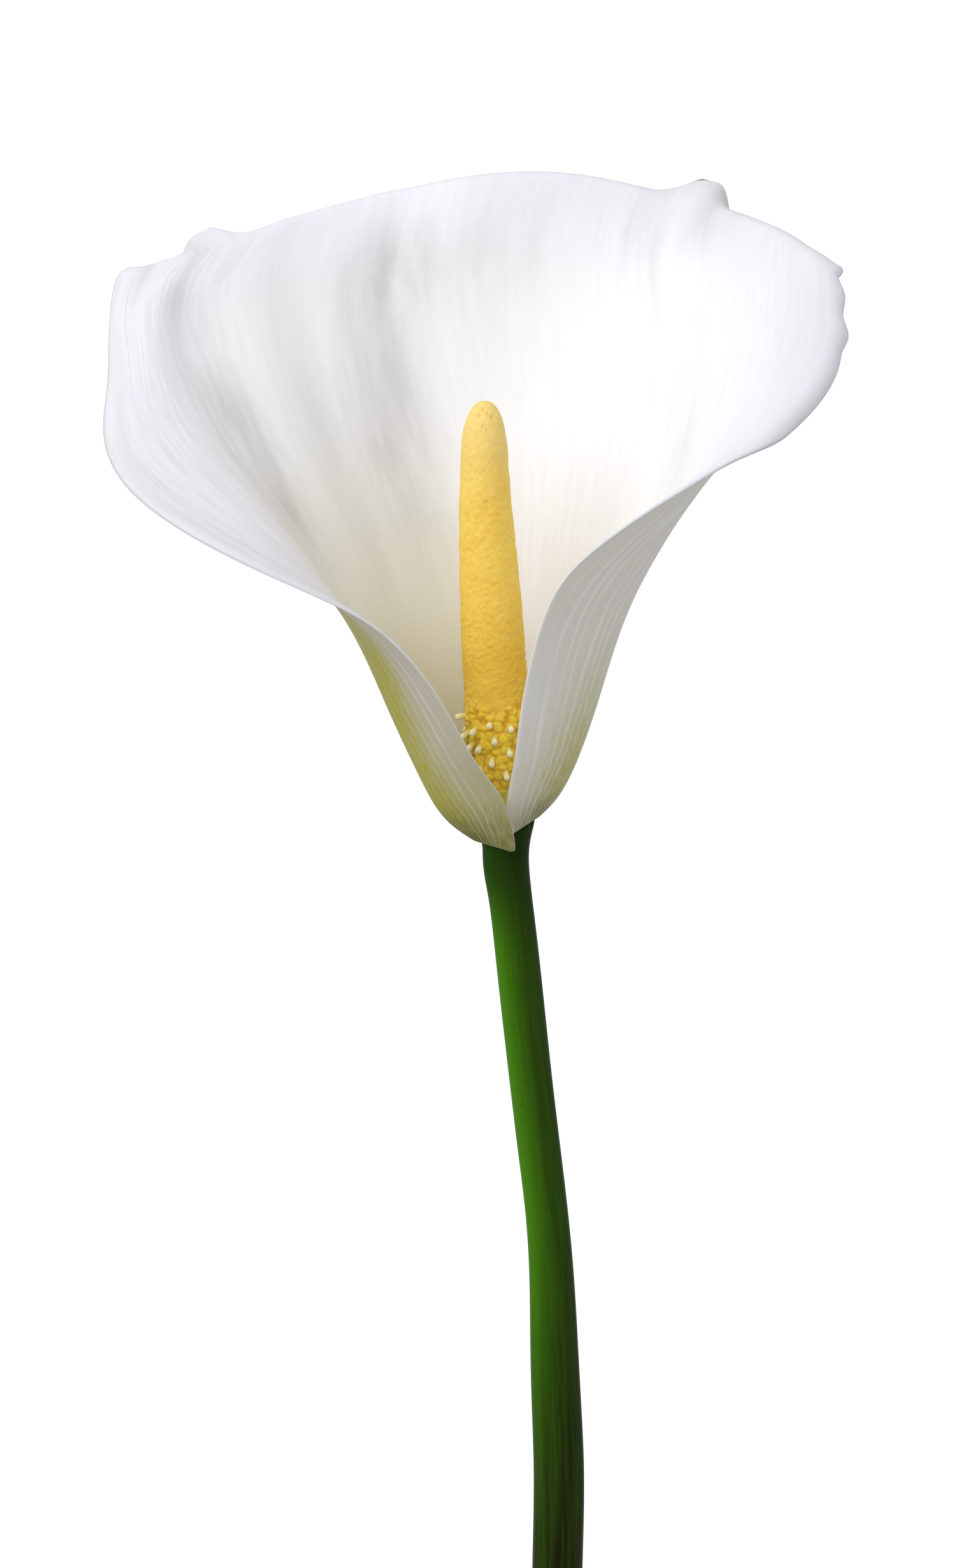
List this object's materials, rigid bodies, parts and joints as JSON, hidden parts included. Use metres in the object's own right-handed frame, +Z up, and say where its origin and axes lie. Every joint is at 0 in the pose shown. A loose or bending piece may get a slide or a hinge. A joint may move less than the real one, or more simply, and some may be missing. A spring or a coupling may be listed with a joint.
{
  "type": "arum lily flower",
  "caption": "Arum lily flower on a cut stem: a white funnel-shaped spathe wrapped round a golden spadix, lying on its back.",
  "frame": {"origin": "middle of the footprint, on the surface that the flower lies on", "axes": "+Y from the cut end of the stem to the top of the flower, +Z up out of the open side of the funnel, +X to the right as seen from above"},
  "size_m": [0.1404, 0.2997, 0.0702],
  "materials": {
    "green_stem": "satin",
    "white_spathe": "satin",
    "golden_spadix": "matte"
  },
  "bodies": {
    "root": {"stem": "green_stem", "spathe": "white_spathe", "spadix": "golden_spadix"}
  },
  "joints": []
}
